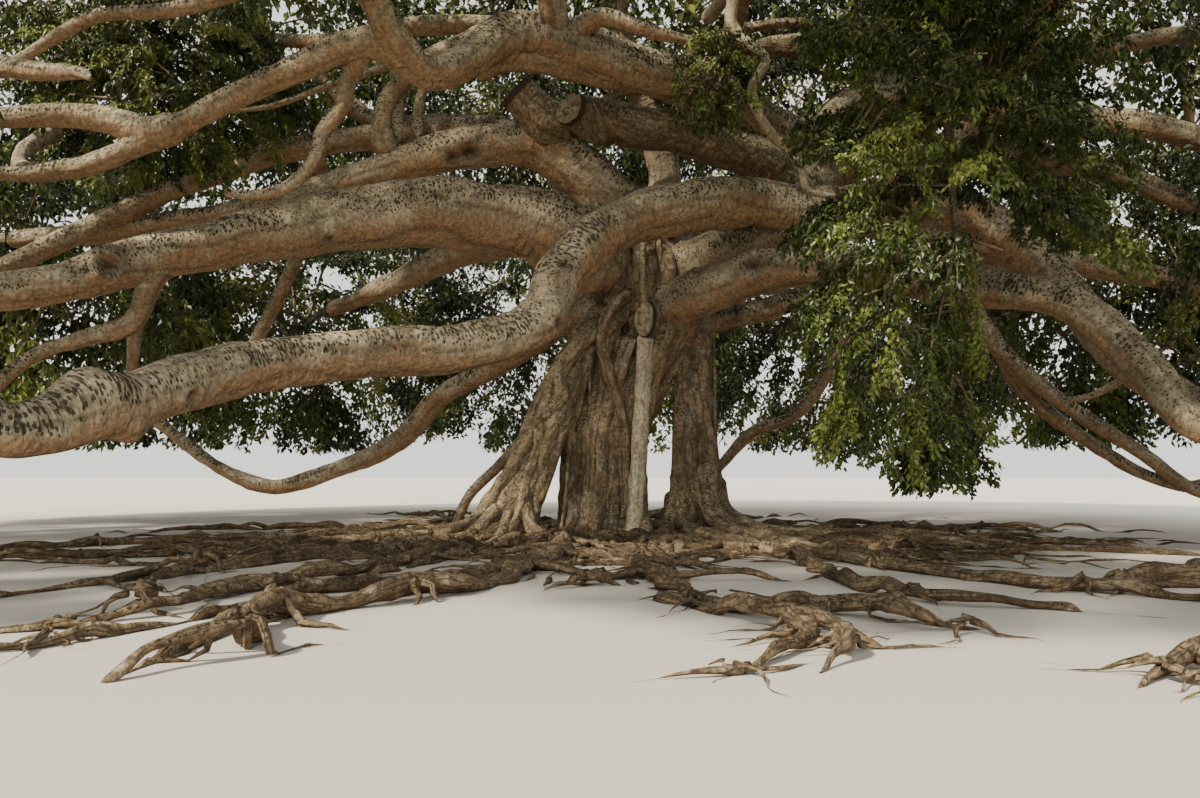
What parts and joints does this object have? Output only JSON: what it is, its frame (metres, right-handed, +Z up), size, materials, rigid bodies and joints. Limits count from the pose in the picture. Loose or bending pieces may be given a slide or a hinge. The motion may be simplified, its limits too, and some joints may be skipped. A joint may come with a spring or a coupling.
{
  "type": "weeping fig tree",
  "caption": "Very old weeping fig with a short fluted trunk on stilt roots, long snaking boughs, surface roots and a low wide crown that hangs at its rim.",
  "frame": {"origin": "on the flat cut under the trunk, at ground level", "axes": "+Z up, -Y towards the side with the open archway that the picture looks in from, +X to the right as seen from there"},
  "size_m": [37.489, 36.8528, 14.7869],
  "materials": {
    "bark": "pale grey-brown weathered bark with dark lichen specks",
    "trunk_bark": "rough fluted brown bark",
    "root_bark": "dry dusty brown root bark",
    "foliage": "small glossy green leaves"
  },
  "bodies": {
    "root": {"trunk": "trunk_bark", "stilt_root_left": "trunk_bark", "stilt_root_right": "trunk_bark", "aerial_root": "trunk_bark", "root_front_left": "root_bark", "root_left_near": "root_bark", "root_right_near": "root_bark", "root_right_far": "root_bark", "bough_right_arching": "bark", "bough_right_low": "bark", "bough_front_left": "bark", "bough_top_snaking": "bark", "bough_sawn": "bark", "bough_right_high": "bark", "bough_right_rear": "bark", "bough_right_inner": "bark", "bough_right_drooping": "bark", "bough_right_sagging": "bark", "bough_left_broad": "bark", "bough_left_kneed": "bark", "bough_left_forked": "bark", "bough_left_hanging": "bark", "bough_left_drooping": "bark", "bough_rear_right": "bark", "bough_rear": "bark", "bough_rear_left": "bark", "bough_leader": "bark", "bough_dome_right": "bark", "bough_dome_rear_right": "bark", "bough_dome_rear": "bark", "bough_dome_left": "bark", "bough_dome_front": "bark", "bough_arch_left": "bark", "bough_arch_right": "bark", "bough_curtain": "bark", "bough_tufted": "bark", "leaves_rim_right": "foliage", "leaves_rim_right_rear": "foliage", "leaves_rim_rear_right": "foliage", "leaves_rim_rear": "foliage", "leaves_rim_rear_left": "foliage", "leaves_rim_left_rear": "foliage", "leaves_rim_left": "foliage", "leaves_rim_left_front": "foliage", "leaves_rim_front_left": "foliage", "leaves_arch_left": "foliage", "leaves_arch_right": "foliage", "leaves_rim_front_right": "foliage", "leaves_rim_right_front": "foliage", "leaves_dome_right": "foliage", "leaves_dome_rear_right": "foliage", "leaves_dome_rear": "foliage", "leaves_dome_left": "foliage", "leaves_dome_front_left": "foliage", "leaves_dome_front": "foliage", "leaves_dome_top": "foliage", "leaves_inner_left": "foliage", "leaves_curtain": "foliage", "leaves_tuft": "foliage"}
  },
  "joints": []
}
